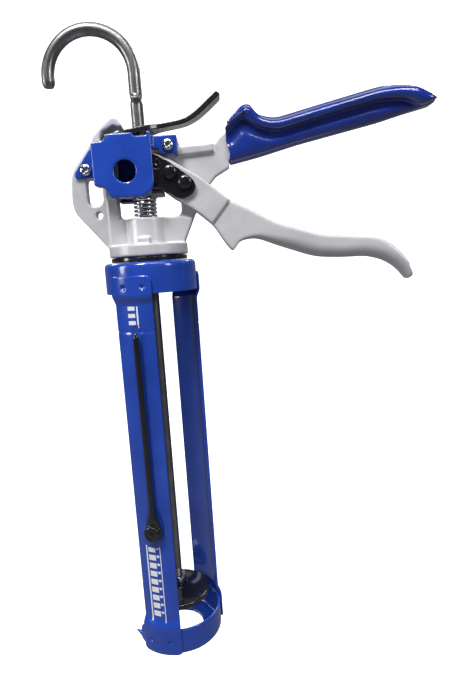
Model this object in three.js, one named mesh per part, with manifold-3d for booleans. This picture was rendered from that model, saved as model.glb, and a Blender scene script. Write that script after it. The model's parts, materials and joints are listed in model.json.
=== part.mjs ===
// Cradle caulking gun, hanging by the hook of its plunger rod.
// Millimetres, +Z up, nozzle end down, handle toward +X, cover with the spout cutter toward -Y.
// Everything is laid out about the rod: x = y = 0 is the rod's axis and z = 0 is the top of the
// cradle's rear cap. The whole gun is then placed with the inside top of the hook at the origin.
import * as THREE from 'three';
import { mergeVertices } from 'three/addons/utils/BufferGeometryUtils.js';
import Module from 'manifold-3d';

const wasm = await Module();
wasm.setup();

// ---- driving dimensions ----

const gap = 0.3;                    // between pieces that touch
const cartridgeDiameter = 49;
const cartridgeSpace = 234.4;       // rear cap's plate to front cap's floor
const rodDiameter = 7.1;
const rodGap = 0.4;                 // round the rod where it slides
const hookBendRadius = 24;          // to the middle of the rod
const hookCentreZ = 104.5;
const hookTail = 5;                 // straight end beyond the half turn

const webThickness = 7;             // thin part of the casting, in the handle's plane
const blockDepth = 18;              // thick part of the casting
const prongThickness = 5.3;
const plateThickness = 2;
const bladeThickness = 1.3;
const coverSheet = 1.5;
const capSheet = 1.3;
const stripSheet = 1.4;

const washerThickness = 2.5;
const collarThickness = 6.4;
const collarRadius = 22.75;
const bossRadius = 11.75;
const neckRadius = 7;
const neckLength = 9.1;
const sillZ = 24.6;                 // bottom of the casting's window
const sillThickness = 10;           // of the plate round the window, below the covers
const flangeWidth = 11;             // along the top of the arm
const lintelZ = 60.5;               // underside of the casting's top block
const blockTopZ = 66.5;
const windowLeftX = -15;
const windowRightX = 21;
const lugBottomZ = 46;
const postStepZ = 36.5;             // the left post is thicker above this, inside the covers

const capSkirt = 17.5;
const capEdgeRadius = 3;
const frontSkirt = 17;
const nozzleRadius = 15;
const nozzleSlotWidth = 22;
const frontStrip = [223.5, 276.5];  // edges round the rod, in degrees from +X toward +Y
const backStrip = [8.5, 69];
const tabLength = 14;
const joggleLength = 5;

const pivotZ = 53;
const pivotRadius = 2.4;
const rivetSpots = [[16.6, 48], [24.6, 42.1]];
const rivetRadius = 2;
const rivetHeadRadius = 3.8;
const screwSpots = { left: [-31, 53], right: [16.5, 62.6] };
const screwRadius = 1.5;
const screwHeadRadius = 3.1;
const cutterHole = { x: -7.2, z: 49.1, radius: 5.9 };

const driveLeftX = -12;
const driveRightX = 11.5;
const driveDepth = 17;
const driveSheet = 2.6;
const driveTopZ = 42.4;

const plungerSlack = 4.5;           // between the disc and the cartridge's wall
const plungerHeight = 23.7;         // front edge of the disc above the front cap's floor, as it hangs
const punchAngle = -106;            // of the seal punch round the cradle
const punchPivotHeight = 80;        // above the front cap's floor
const punchRadius = 1.6;
const punchLength = 117.5;
const punchRivetRadius = 1.9;
const punchEyeRadius = 5.3;

const leverSheet = 3;
const leverTopZ = 73.9;             // the release lever's top face beside the rod
const leverSlope = 0.135;
const crimpZ = 90;                  // swaged ears that stop the rod at the lever

// ---- sizes that follow from them ----

const rodRadius = rodDiameter / 2;
const boreRadius = rodRadius + rodGap;
const webHalf = webThickness / 2;
const blockHalf = blockDepth / 2;
const forkHalf = Math.max(webHalf, rodRadius) + 0.45;
const prongY = forkHalf + prongThickness;
const plateY = prongY + gap + plateThickness;
const bladeY = plateY + 2.4 + bladeThickness;
const coverY = bladeY + 0.7 + coverSheet;
const coverSeatY = blockHalf + gap;
const earY = coverSeatY + coverSheet;
const flangeY = webHalf + gap + coverSheet;
const collarZ = 2 * gap + washerThickness;
const collarTopZ = collarZ + collarThickness;
const lugLeftX = rodRadius + 1.45;
const pivotX = lugLeftX + 4.5;
const driveBottomZ = driveTopZ - 2 * driveSheet - gap;

const capInner = cartridgeDiameter / 2 + 0.7;
const capOuter = capInner + capSheet;
const stripInner = cartridgeDiameter / 2 + gap;
const stripOuter = stripInner + stripSheet;
const tabInner = capOuter + gap;
const tabOuter = tabInner + stripSheet;
const floorZ = -capSheet - cartridgeSpace;
const frontZ = floorZ - capSheet;
const openingAngle = (frontStrip[0] + backStrip[1]) / 2;  // where the cartridge goes in
const openingHalf = (frontStrip[0] - backStrip[1]) / 2;
const plungerRadius = cartridgeDiameter / 2 - plungerSlack;
const plungerZ = floorZ + plungerHeight;
const punchPivotZ = floorZ + punchPivotHeight;
const punchWireR = stripOuter + gap + 0.2 + punchRadius;
const noseBottomZ = driveTopZ + gap + 0.05;

const paint = {
  silver: [0xc4c4c9, 0.45, 0.3],
  blue: [0x1c3fae, 0.25, 0.1],
  grip: [0x1b2f9c, 0.3, 0],
  black: [0x16161a, 0.3, 0.5],
  steel: [0x77767a, 0.35, 0.9],
  bright: [0xd6d6da, 0.2, 1],
};

// ---- solids ----

function volumeOf(position, index) {
  const corner = [0, 1, 2].map(() => new THREE.Vector3());
  let sum = 0;
  for (let i = 0; i < index.length; i += 3) {
    corner.forEach((v, k) => v.fromBufferAttribute(position, index[i + k]));
    sum += corner[0].dot(corner[1].cross(corner[2]));
  }
  return sum / 6;
}

function solid(geometry) {
  const bare = geometry.clone();
  for (const name of ['normal', 'uv']) bare.deleteAttribute(name);
  const merged = mergeVertices(bare, 1e-4);
  const index = Array.from(merged.index.array);
  const kept = [];
  for (let i = 0; i < index.length; i += 3) {
    const [a, b, c] = index.slice(i, i + 3);
    if (a !== b && b !== c && c !== a) kept.push(a, b, c);
  }
  if (volumeOf(merged.attributes.position, kept) < 0) kept.reverse();
  return new wasm.Manifold(new wasm.Mesh({
    numProp: 3,
    vertProperties: new Float32Array(merged.attributes.position.array),
    triVerts: new Uint32Array(kept),
  }));
}

const join = (first, ...others) => others.reduce((sum, other) => sum.add(other), first);
const cut = (first, ...others) => others.reduce((rest, other) => rest.subtract(other), first);

function meshOf(name, body, [color, roughness, metalness]) {
  const { vertProperties, triVerts } = body.getMesh();
  const geometry = new THREE.BufferGeometry();
  geometry.setAttribute('position', new THREE.BufferAttribute(vertProperties, 3));
  geometry.setIndex(new THREE.BufferAttribute(triVerts, 1));
  geometry.computeVertexNormals();
  const mesh = new THREE.Mesh(geometry, new THREE.MeshStandardMaterial({ color, roughness, metalness }));
  mesh.name = name;
  return mesh;
}

// an outline in the handle's plane, as [x, z] corners; a third number rounds a corner
function outline(corners) {
  const shape = new THREE.Shape();
  const at = (i) => new THREE.Vector2(...corners[(i + corners.length) % corners.length]);
  corners.forEach(([, , radius = 0], i) => {
    const here = at(i);
    if (!radius) {
      if (i) shape.lineTo(here.x, here.y);
      else shape.moveTo(here.x, here.y);
      return;
    }
    const toward = (j) => {
      const way = at(j).sub(here);
      return way.setLength(Math.min(radius, way.length() * 0.45)).add(here);
    };
    const start = toward(i - 1);
    const end = toward(i + 1);
    if (i) shape.lineTo(start.x, start.y);
    else shape.moveTo(start.x, start.y);
    shape.quadraticCurveTo(here.x, here.y, end.x, end.y);
  });
  shape.closePath();
  return shape;
}

// an outline drawn in by a wall's thickness; its corners run clockwise
function inset(corners, wall) {
  const count = corners.length;
  const at = (i) => new THREE.Vector2(...corners[(i + count) % count]);
  const inward = (i) => {
    const way = at(i + 1).sub(at(i)).normalize();
    return new THREE.Vector2(way.y, -way.x);
  };
  return corners.map((_, i) => {
    const before = inward(i - 1);
    const both = inward(i).add(before);
    const corner = at(i).addScaledVector(both, wall / both.dot(before));
    return [corner.x, corner.y];
  });
}

// a plate in the handle's plane, from y = low to y = high
function plate(corners, low, high) {
  const geometry = new THREE.ExtrudeGeometry(outline(corners), {
    depth: high - low,
    curveSegments: 4,
    bevelEnabled: false,
  });
  geometry.rotateX(Math.PI / 2);
  geometry.translate(0, high, 0);
  return solid(geometry);
}

// a slab square to the rod, from z = low to z = high, from an [x, y] outline
function slab(corners, low, high) {
  const geometry = new THREE.ExtrudeGeometry(outline(corners), {
    depth: high - low,
    curveSegments: 4,
    bevelEnabled: false,
  });
  geometry.translate(0, 0, low);
  return solid(geometry);
}

function box([x0, x1], [y0, y1], [z0, z1]) {
  const geometry = new THREE.BoxGeometry(x1 - x0, y1 - y0, z1 - z0);
  geometry.translate((x0 + x1) / 2, (y0 + y1) / 2, (z0 + z1) / 2);
  return solid(geometry);
}

// a round bar along the rod's axis
function post(radius, low, high, sides = 32) {
  const geometry = new THREE.CylinderGeometry(radius, radius, high - low, sides);
  geometry.rotateX(Math.PI / 2);
  geometry.translate(0, 0, (low + high) / 2);
  return solid(geometry);
}

// a round bar across the gun, along Y
function pin([x, z], radius, low, high, sides = 20) {
  const geometry = new THREE.CylinderGeometry(radius, radius, high - low, sides);
  geometry.translate(x, (low + high) / 2, z);
  return solid(geometry);
}

// a turned piece about the rod's axis, from a closed [radius, z] profile
function turned(profile, segments = 48) {
  const points = [...profile, profile[0]].map(([r, z]) => new THREE.Vector2(r, z));
  const geometry = new THREE.LatheGeometry(points, segments);
  geometry.rotateX(Math.PI / 2);
  return solid(geometry);
}

// everything between two angles round the rod
function wedge(from, to, low, high) {
  const reach = 3 * capOuter;
  const steps = 8;
  const rim = Array.from({ length: steps + 1 }, (_, i) => {
    const angle = THREE.MathUtils.degToRad(from + (to - from) * i / steps);
    return [reach * Math.cos(angle), reach * Math.sin(angle)];
  });
  return slab([[0, 0], ...rim], low, high);
}

// a spring of round wire about the rod's axis
function coil(meanRadius, wireRadius, low, high, turns) {
  class Helix extends THREE.Curve {
    getPoint(t, target = new THREE.Vector3()) {
      const angle = t * turns * 2 * Math.PI;
      const z = low + wireRadius + t * (high - low - 2 * wireRadius);
      return target.set(meanRadius * Math.cos(angle), meanRadius * Math.sin(angle), z);
    }
  }
  return solid(new THREE.ExtrudeGeometry(circle(wireRadius, 6), {
    steps: Math.round(turns * 14),
    extrudePath: new Helix(),
    bevelEnabled: false,
  }));
}

function circle(radius, sides) {
  const points = Array.from({ length: sides }, (_, i) => {
    const angle = (i / sides) * 2 * Math.PI;
    return new THREE.Vector2(radius * Math.cos(angle), radius * Math.sin(angle));
  });
  return new THREE.Shape(points);
}

// a dome on the outside of a flat head, along Y; side is -1 toward the viewer of the cutter
function domedHead([x, z], radius, height, seat, side) {
  const curve = Array.from({ length: 4 }, (_, i) => {
    const angle = (i / 3) * Math.PI / 2;
    return new THREE.Vector2(radius * Math.cos(angle), height * (0.35 + 0.65 * Math.sin(angle)));
  });
  curve[3].x = 0;
  const points = [new THREE.Vector2(0, 0), new THREE.Vector2(radius, 0), ...curve];
  const geometry = new THREE.LatheGeometry(points, 16);
  if (side < 0) geometry.rotateX(Math.PI);
  geometry.translate(x, side * seat, z);
  return solid(geometry);
}

const sided = (side, near, far) => (side < 0 ? [-far, -near] : [near, far]);

// ---- plunger ----

function plungerRod() {
  const endZ = plungerZ - 9;
  const straight = post(rodRadius, endZ, hookCentreZ + 0.2, 16);
  const bend = new THREE.CurvePath();
  const centre = new THREE.Vector3(-hookBendRadius, 0, hookCentreZ);
  class HalfTurn extends THREE.Curve {
    getPoint(t, target = new THREE.Vector3()) {
      const x = centre.x + hookBendRadius * Math.cos(t * Math.PI);
      return target.set(x, 0, centre.z + hookBendRadius * Math.sin(t * Math.PI));
    }
  }
  bend.add(new HalfTurn());
  const hook = solid(new THREE.ExtrudeGeometry(circle(rodRadius, 16), {
    steps: 20,
    extrudePath: bend,
    bevelEnabled: false,
  }));
  const tail = post(rodRadius, hookCentreZ - hookTail, hookCentreZ + 0.2, 16).translate([2 * centre.x, 0, 0]);
  const ear = new THREE.SphereGeometry(1, 12, 8);
  ear.scale(2, rodRadius + 2.2, 3);
  ear.translate(0, 0, crimpZ);
  return join(straight, hook, tail, solid(ear));
}

function plungerDisc() {
  const bore = boreRadius;
  const top = plungerZ + 6.5;
  const sheet = 1.6;
  return turned([
    [bore, top - sheet], [6.5, top - sheet], [plungerRadius - 4.2, plungerZ + 1.4],
    [plungerRadius - 3.4, plungerZ], [plungerRadius, plungerZ], [plungerRadius, plungerZ + 2.6],
    [plungerRadius - 1.2, plungerZ + 3.2], [plungerRadius - 4.4, plungerZ + 3.2], [7, top], [bore, top],
  ]);
}

function hexNut(acrossFlats, low, high) {
  const corners = Array.from({ length: 6 }, (_, i) => {
    const angle = (i + 0.5) * Math.PI / 3;
    return [acrossFlats / Math.sqrt(3) * Math.cos(angle), acrossFlats / Math.sqrt(3) * Math.sin(angle)];
  });
  return cut(slab(corners, low, high), post(rodRadius + gap, low - 1, high + 1, 24));
}

// ---- casting ----

const handleCore = [
  [44.5, 64.2], [49.4, 69.6], [57.5, 77.2, 2], [61, 77.6, 2], [66.5, 73, 3], [77, 70.6, 4], [101, 75.5],
  [135, 83], [147, 83.6], [151, 80.5, 2], [150, 76.8, 2], [135, 73.6], [90, 64.4], [62, 57], [47, 53.4],
];

const castingOutline = [
  [-21, 69], [-26, 69, 1], [-29.8, 64.8, 1], [-40, 51.4, 4], [-41, 40], [-40.8, 31, 4],
  [-22.5, collarTopZ - 1],
  [20.8, collarTopZ - 1], [29, 26], [37.3, 40.5, 2], [42, 45.6], [50, 49.8], [50, 56], [49.4, 69.6],
  [44.5, 66, 1.5], [43, 63.4, 1.5], [22, 62.4], [20, blockTopZ], [-17, blockTopZ],
];

// curls over the end of the release lever
const leverEar = [
  [-26, blockTopZ - 1], [-25.6, 70, 1.5], [-18.6, 76.8, 2], [-13.4, 80.6, 1.5], [-10.6, 79.4, 1.5],
  [-8.6, 75, 0.8],
  [-11, 75, 0.8], [-13, 76, 1], [-20, 72.9, 1], [-21.3, 69, 1], [-20.6, blockTopZ - 1],
];

function bodyCasting() {
  const web = plate(castingOutline, -webHalf, webHalf);
  const core = plate(handleCore, -webHalf, webHalf);
  const topBlock = box([-21, 22], [-blockHalf, blockHalf], [lintelZ - 1, blockTopZ]);
  const leftPost = join(
    box([-21, windowLeftX], [-blockHalf, blockHalf], [postStepZ, lintelZ]),
    box([-21, windowLeftX], [-sillThickness / 2, sillThickness / 2], [sillZ - 1, postStepZ + 1]),
  );
  const sill = plate([[-21, collarTopZ - 1], [-21, sillZ], [windowRightX, sillZ], [27.5, 23, 2],
    [20.8, collarTopZ - 1]], -sillThickness / 2, sillThickness / 2);
  const armFlange = plate([[21, 57.6], [21, 62.4], [41, 63.2], [41.5, 58.8]],
    -flangeWidth / 2, flangeWidth / 2);
  const ear = plate(leverEar, -7, 7);
  const collar = post(collarRadius, collarZ, collarTopZ, 48);
  const boss = post(bossRadius, collarTopZ - 1, sillZ);
  const neck = post(neckRadius, collarZ - neckLength, collarZ + 1);
  const stop = box([-4, 3], [-17, -bossRadius + 1], [collarTopZ - 1, collarTopZ + 4]);
  const opening = plate([
    [windowLeftX, sillZ, 4], [windowRightX, sillZ, 4], [windowRightX, lugBottomZ, 2], [lugLeftX, lugBottomZ],
    [lugLeftX, lintelZ], [windowLeftX, lintelZ],
  ], -blockDepth, blockDepth);
  const slot = plate([[-32.15, 49.2, 4.4], [-23.25, 49.2, 4.4], [-23.25, 33, 4.4], [-32.15, 33, 4.4]],
    -blockDepth, blockDepth);
  return cut(
    join(web, core, topBlock, leftPost, sill, armFlange, ear, collar, boss, neck, stop),
    opening,
    slot,
    pin([-26.3, 27.9], 2, -blockDepth, blockDepth),
    post(boreRadius, -20, 80, 32),
    pin([pivotX, pivotZ], pivotRadius + gap, -blockDepth, blockDepth),
    ...Object.values(screwSpots).map((spot) => pin(spot, screwRadius + gap, -blockDepth, blockDepth)),
  );
}

const gripOutline = [
  [49.9, 75.2], [58.5, 82.9, 2], [61.8, 83.6, 1.5], [65.4, 81.8, 2], [69.5, 76.6, 3], [77.1, 75, 4],
  [101.9, 80.6], [135.6, 88, 5], [147.5, 89, 5], [156, 87, 4], [167.6, 78.6, 1.2], [166, 76.8, 1.2],
  [135.2, 69], [89.8, 60], [67, 54.5], [50.2, 51.2],
];

const gripBead = [
  [49.9, 75.2], [58.5, 82.9, 2], [61.8, 83.6, 1.5], [65.4, 81.8, 2], [69.5, 76.6, 3], [77.1, 75, 4],
  [101.9, 80.6], [135.6, 88, 5], [147.5, 89, 5], [156, 87, 4], [167.6, 78.6, 1.2], [158, 75.4, 3],
  [149, 79.6, 4], [135, 79.6], [101, 72.4], [77, 66.8, 5], [66, 70, 4], [59, 75, 3], [50.1, 66.5],
];

function handleGrip() {
  const web = plate(gripOutline, -6, 6);
  const bead = plate(gripBead, -10.5, 10.5);
  const room = plate(handleCore, -webHalf - gap, webHalf + gap);
  const swell = [[-gap, 0], [gap, 0], [0, -gap], [0, gap]].map(([x, z]) => room.translate([x, 0, z]));
  return cut(join(web, bead), join(...swell));
}

// ---- covers ----

const coverFace = [
  [-24.7, 65, 1], [-17.5, 65.6, 1], [-15.4, 68.9, 1.5], [8.2, 69.2, 1.5], [8.2, 40, 3], [2.5, 35.3, 1.5],
  [-16.3, 35.3, 1], [-17.6, 39.4, 1.5], [-20, 41.5, 1.5], [-24.7, 42.2, 1],
];

function cover(side) {
  const layer = (shape, near, far) => plate(shape, ...sided(side, near, far));
  const hood = layer(coverFace, coverSeatY, coverY);
  const room = layer(inset(coverFace, coverSheet), coverSeatY - 1, coverY - coverSheet);
  // open toward the trigger, whose side plate runs inside
  const sideWay = box([5, 10], sided(side, coverSeatY - 1, coverY - coverSheet), [39, lintelZ + gap]);
  const leftWall = box([-24.7, -24.7 + coverSheet], sided(side, webHalf + gap, coverSeatY + 1), [48.3, 64.5]);
  const flange = layer([[-23.2, 64.5], [-28, 64.5, 1], [-38.4, 50.6, 2], [-37, 48.3, 1], [-23.2, 48.3]],
    webHalf + gap, flangeY);
  const neck = box([6.7, 13], sided(side, coverSeatY, earY), [lintelZ + gap, 67.8]);
  const ear = layer([[12, 57.6, 1.5], [21.8, 57.6, 1.5], [22, 68, 1.5], [12, 68, 1.5]], coverSeatY, earY);
  const notch = box([-1.5, 6], sided(side, coverSeatY - 1, coverY + 1), [67, 71]);
  const holes = Object.values(screwSpots).map(
    (spot) => pin(spot, screwRadius + gap, -coverY - 2, coverY + 2));
  const body = cut(join(cut(hood, room, sideWay, notch), leftWall, flange, neck, ear), ...holes);
  if (side > 0) return body;
  return cut(body, pin([cutterHole.x, cutterHole.z], cutterHole.radius, -coverY - 2, -coverSeatY, 36));
}

function coverScrew(spot, side, seat, depth) {
  const head = domedHead(spot, screwHeadRadius, 1.8, seat + gap, side);
  const shank = pin(spot, screwRadius, ...sided(side, seat - depth, seat + gap + 0.5), 16);
  const recess = [[3.6, 0.9], [0.9, 3.6]].map(([wide, tall]) => box(
    [spot[0] - wide / 2, spot[0] + wide / 2],
    sided(side, seat + gap + 0.7, seat + gap + 3),
    [spot[1] - tall / 2, spot[1] + tall / 2],
  ));
  return cut(join(head, shank), ...recess);
}

// ---- trigger ----

// nose that pushes the drive plates, and the hidden end round the pivot
const noseCorners = [
  [6, 42.9, 1.5], [2.5, 42.4 + 0.4, 1.5], [-1.2, 44.6, 1.5], [-1.4, 50], [2.5, 57.6, 2], [7.6, 59.6, 2],
];

const triggerOutline = [
  [driveRightX + 1.1, 39.2], [driveRightX + 1.1, 43.6, 1.5], ...noseCorners,
  [16.8, 55.3], [32.6, 45], [48.4, 32.4, 4], [75.5, 17.3, 6], [101, 9, 6], [121, 7.2, 6], [132, 6, 5],
  [140.4, 1.8, 5], [147.4, -5.4, 4], [153.9, -14.6, 4], [154.4, -18.4, 2], [150.4, -20.2, 1.4],
  [145, -13.2, 4],
  [137, -7.8, 4], [127, -5, 4], [112, -4.9, 6], [97, -3.6, 6], [76, 4.2, 6], [63, 9.9, 5], [53.6, 8.6, 3],
  [49.2, 2.6, 1.4], [45.4, 7.2, 2], [38.4, 18.7, 3], [29.8, 26.4, 3], [20, 33.2],
];

const forkOutline = [
  [driveRightX + 1.1, 39.2], [driveRightX + 1.1, 43.6, 1.5], ...noseCorners,
  [16.8, 55.3], [32.6, 45], [48.9, 31.5], [38.4, 18.7], [29.8, 26.4, 3], [20, 33.2],
];

const forkRoom = [[-5, 35], [-5, 65], [30, 65], [49.6, 31.4], [38, 17], [30, 15]];

const sidePlateOutline = [
  [8, 42.6, 1.5], ...noseCorners.slice(1, 5).map(([x, z, r]) => [x + 0.2, z, r]), [8, 58.6, 1.5],
  [16.3, 53.8], [28.4, 44.4, 4], [31, 40, 3.6], [28.2, 35, 3.6], [22, 32.9, 3], [18, 34.6, 2],
];

function trigger() {
  const handle = plate(triggerOutline, -8, 8);
  const fork = plate(forkOutline, -prongY, prongY);
  const room = plate(forkRoom, -forkHalf, forkHalf);
  const holes = rivetSpots.map((spot) => pin(spot, rivetRadius + gap, -prongY - 5, prongY + 5));
  const heel = box([-5, driveRightX + 1.1], [-prongY - 5, prongY + 5], [30, noseBottomZ]);
  return cut(join(handle, fork), room, heel, pin([pivotX, pivotZ], pivotRadius + gap, -30, 30), ...holes);
}

function triggerPlate(side) {
  const sheet = plate(sidePlateOutline, ...sided(side, prongY + gap, plateY));
  const holes = rivetSpots.map((spot) => pin(spot, rivetRadius + gap, -30, 30));
  return cut(sheet, pin([pivotX, pivotZ], pivotRadius + gap, -30, 30), ...holes);
}

function triggerRivet(spot, side) {
  const shank = pin(spot, rivetRadius, ...sided(side, forkHalf + gap, plateY + gap + 0.5));
  return join(shank, domedHead(spot, rivetHeadRadius, 2.4, plateY + gap, side));
}

// shears a spout pushed through the cover's hole as the trigger is squeezed
function cutterBlade() {
  const inner = plateY + gap;
  const sheet = plate([[6, 49], [6, 57], [1, 63, 2], [-14, 63, 2], [-14, 55.6], [-2, 55.6, 2], [0, 50, 1]],
    -bladeY, -bladeY + bladeThickness);
  return join(sheet, pin([3, 53], 2.6, -bladeY + 0.4, -inner));
}

// ---- drive and brake ----

function drivePlate(low) {
  const half = driveDepth / 2;
  const corners = [[driveLeftX, -half, 2], [driveRightX, -half, 2], [driveRightX, half, 2],
    [driveLeftX, half, 2]];
  const sheet = slab(corners, low, low + driveSheet);
  return cut(sheet, post(boreRadius, low - 1, low + driveSheet + 1, 32));
}

function releaseLever() {
  const top = (x) => leverTopZ + leverSlope * x;
  const side = [
    [-19.5, top(-19.5) - leverSheet], [-19.5, top(-19.5)], [26, top(26), 5], [33.2, 81.2, 5], [45, 90.8, 1.2],
    [47.6, 88.8, 1.2], [35.2, 78.6, 5], [27.4, top(27.4) - leverSheet, 5],
  ];
  const strip = plate(side, -10, 10);
  const plan = slab([
    [-20, -6], [-11, -6], [-8, -8], [6, -8, 3], [12, -4.3, 3], [26, -4.3], [40, -6], [49, -6, 4],
    [49, 6, 4], [40, 6], [26, 4.3], [12, 4.3, 3], [6, 8, 3], [-8, 8], [-11, 6], [-20, 6],
  ], 60, 100);
  return cut(strip.intersect(plan), post(rodRadius + 0.85, 60, 85, 32));
}

// ---- cradle ----

function rearCap() {
  const bend = Array.from({ length: 4 }, (_, i) => {
    const angle = (i / 3) * Math.PI / 2;
    return [capOuter - capEdgeRadius * (1 - Math.sin(angle)), -capEdgeRadius * (1 - Math.cos(angle))];
  });
  const hole = neckRadius + gap;
  const innerCorner = capInner - capEdgeRadius + capSheet;
  return turned([
    [hole, -capSheet], [hole, 0], ...bend, [capOuter, -capSkirt], [capInner, -capSkirt],
    [capInner, -capEdgeRadius], [innerCorner, -capSheet],
  ], 64);
}

function frontCap() {
  const bend = Array.from({ length: 4 }, (_, i) => {
    const angle = (i / 3) * Math.PI / 2;
    return [capOuter - capEdgeRadius * (1 - Math.cos(angle)), frontZ + capEdgeRadius * (1 - Math.sin(angle))];
  });
  const top = frontZ + frontSkirt;
  const cup = turned([
    [nozzleRadius, floorZ], [capInner - capEdgeRadius + capSheet, floorZ], [capInner, frontZ + capEdgeRadius],
    [capInner, top], [capOuter, top], ...bend, [nozzleRadius, frontZ],
  ], 64);
  // the skirt falls away on both sides of the opening, to low horns
  const side = (angle) => capOuter * Math.sin(THREE.MathUtils.degToRad(angle));
  const full = side(openingHalf + 6);
  const edge = side(openingHalf);
  const horn = side(openingHalf - 25);
  const end = side(openingHalf - 33);
  const fall = [[full, top + 1], [full, top], [edge, top - 7.5, 1.5], [horn, frontZ + 5, 3],
    [end, floorZ + 0.05]];
  const mouth = plate([...fall, ...fall.map(([x, z, r]) => [-x, z, r]).reverse()], 2, 40);
  const slot = box([-nozzleSlotWidth / 2, nozzleSlotWidth / 2], [0, 40], [frontZ - 1, floorZ + 1]);
  return cut(cup, mouth.rotate([0, 0, openingAngle - 90]), slot.rotate([0, 0, openingAngle - 90]));
}

function cradleStrip([from, to]) {
  const rearTop = -capEdgeRadius - 1;
  const rearTab = rearTop - tabLength;
  const frontEnd = frontZ + 1.2;
  const frontTab = frontZ + frontSkirt + 1.5;
  const band = turned([
    [tabInner, rearTop], [tabInner, rearTab - 1.2], [stripInner, rearTab - joggleLength],
    [stripInner, frontTab + joggleLength - 1.2], [tabInner, frontTab], [tabInner, frontEnd],
    [tabOuter, frontEnd], [tabOuter, frontTab + 1.2], [stripOuter, frontTab + joggleLength],
    [stripOuter, rearTab - joggleLength - 1.2], [tabOuter, rearTab], [tabOuter, rearTop],
  ], 72);
  return band.intersect(wedge(from, to, frontZ - 5, 5));
}

// turns a piece made on the +X side of the rod to its place round the cradle
const atPunch = (body) => body.rotate([0, 0, punchAngle]);

function punchedStrip() {
  const strip = cradleStrip(frontStrip);
  const hole = new THREE.CylinderGeometry(punchRivetRadius + gap, punchRivetRadius + gap, 20, 20);
  hole.rotateZ(Math.PI / 2);
  hole.translate(stripOuter, 0, punchPivotZ);
  return cut(strip, atPunch(solid(hole)));
}

function sealPunch() {
  const x = punchWireR;
  const point = 5;
  const tip = new THREE.ConeGeometry(punchRadius, point, 12);
  tip.rotateX(Math.PI / 2);
  tip.translate(x, 0, punchPivotZ + punchLength - point / 2);
  const wireEnd = punchPivotZ + punchLength - point + 0.1;
  const wire = post(punchRadius, punchPivotZ + punchEyeRadius - 1, wireEnd, 12).translate([x, 0, 0]);
  const eye = new THREE.CylinderGeometry(punchEyeRadius, punchEyeRadius, 2 * punchRadius, 24);
  eye.rotateZ(Math.PI / 2);
  eye.translate(x, 0, punchPivotZ);
  const hole = new THREE.CylinderGeometry(punchRivetRadius + 0.5, punchRivetRadius + 0.5, 10, 20);
  hole.rotateZ(Math.PI / 2);
  hole.translate(x, 0, punchPivotZ);
  return atPunch(cut(join(wire, solid(tip), solid(eye)), solid(hole)));
}

function punchPivot() {
  const seat = punchWireR + punchRadius + gap + 0.2;
  const head = punchEyeRadius - 0.5;
  const profile = [[0, stripInner + gap], [punchRivetRadius, stripInner + gap], [punchRivetRadius, seat],
    [head, seat], [head, seat + 1.2], [head - 0.8, seat + 2], [0, seat + 2.4]];
  const geometry = new THREE.LatheGeometry(profile.map(([r, h]) => new THREE.Vector2(r, h)), 28);
  geometry.rotateZ(-Math.PI / 2);
  geometry.translate(0, 0, punchPivotZ);
  return atPunch(solid(geometry));
}

// ---- swivel ----

function swivelWasher() {
  return turned([[neckRadius + gap + 1, gap], [22, gap], [22, gap + washerThickness],
    [neckRadius + gap + 1, gap + washerThickness]]);
}

function swivelNut() {
  const low = -capSheet - gap - 4;
  return cut(hexNut(24, low, low + 4), post(neckRadius + gap, low - 1, low + 5));
}

// ---- the gun ----

const gun = new THREE.Group();
gun.position.set(hookBendRadius, 0, -(hookCentreZ + hookBendRadius - rodRadius));

function add(name, body, colour) {
  gun.add(meshOf(name, body, colour));
}

add('plunger_rod', plungerRod(), paint.steel);
add('plunger_disc', plungerDisc(), paint.black);
add('plunger_nut_rear', hexNut(11, plungerZ + 6.5 + gap, plungerZ + 12.5), paint.bright);
add('plunger_washer', turned([[rodRadius + gap, plungerZ + 3.2], [6.2, plungerZ + 3.2], [6.2, plungerZ + 4.5],
  [rodRadius + gap, plungerZ + 4.5]], 32), paint.bright);
add('plunger_nut_front', hexNut(11, plungerZ - 2.8, plungerZ + 2.9), paint.bright);

add('body_casting', bodyCasting(), paint.silver);
add('handle_grip', handleGrip(), paint.grip);
add('cover_near', cover(-1), paint.blue);
add('cover_far', cover(1), paint.blue);
for (const [word, side] of [['near', -1], ['far', 1]]) {
  add(`cover_screw_${word}_left`, coverScrew(screwSpots.left, side, flangeY, flangeY - 0.6), paint.bright);
  add(`cover_screw_${word}_right`, coverScrew(screwSpots.right, side, earY, 7), paint.bright);
}

add('trigger', trigger(), paint.silver);
for (const [word, side] of [['near', -1], ['far', 1]]) {
  add(`trigger_plate_${word}`, triggerPlate(side), paint.black);
  rivetSpots.forEach((spot, i) => {
    add(`trigger_rivet_${word}_${i + 1}`, triggerRivet(spot, side), paint.black);
  });
}
add('trigger_pivot_pin', pin([pivotX, pivotZ], pivotRadius, -plateY, plateY), paint.black);
add('cutter_blade', cutterBlade(), paint.steel);

add('drive_plate_rear', drivePlate(driveTopZ - driveSheet), paint.steel);
add('drive_plate_front', drivePlate(driveBottomZ), paint.steel);
add('return_spring', coil(rodRadius + 2.65, 0.8, sillZ + gap, driveBottomZ - gap, 4.5), paint.bright);
add('release_lever', releaseLever(), paint.black);
add('brake_spring', coil(rodRadius + 1.9, 0.55, blockTopZ + gap, leverTopZ - leverSheet - 0.9, 2),
  paint.bright);

add('swivel_washer', swivelWasher(), paint.black);
add('swivel_nut', swivelNut(), paint.steel);
add('rear_cap', rearCap(), paint.blue);
add('cradle_strip_front', punchedStrip(), paint.blue);
add('cradle_strip_back', cradleStrip(backStrip), paint.blue);
add('front_cap', frontCap(), paint.blue);
add('seal_punch', sealPunch(), paint.black);
add('seal_punch_pivot', punchPivot(), paint.black);

export default gun;
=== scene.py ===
import json
import math
import bmesh
import bpy
import numpy as np
from mathutils import Matrix, Vector
from mathutils.bvhtree import BVHTree
from mathutils.kdtree import KDTree


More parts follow.
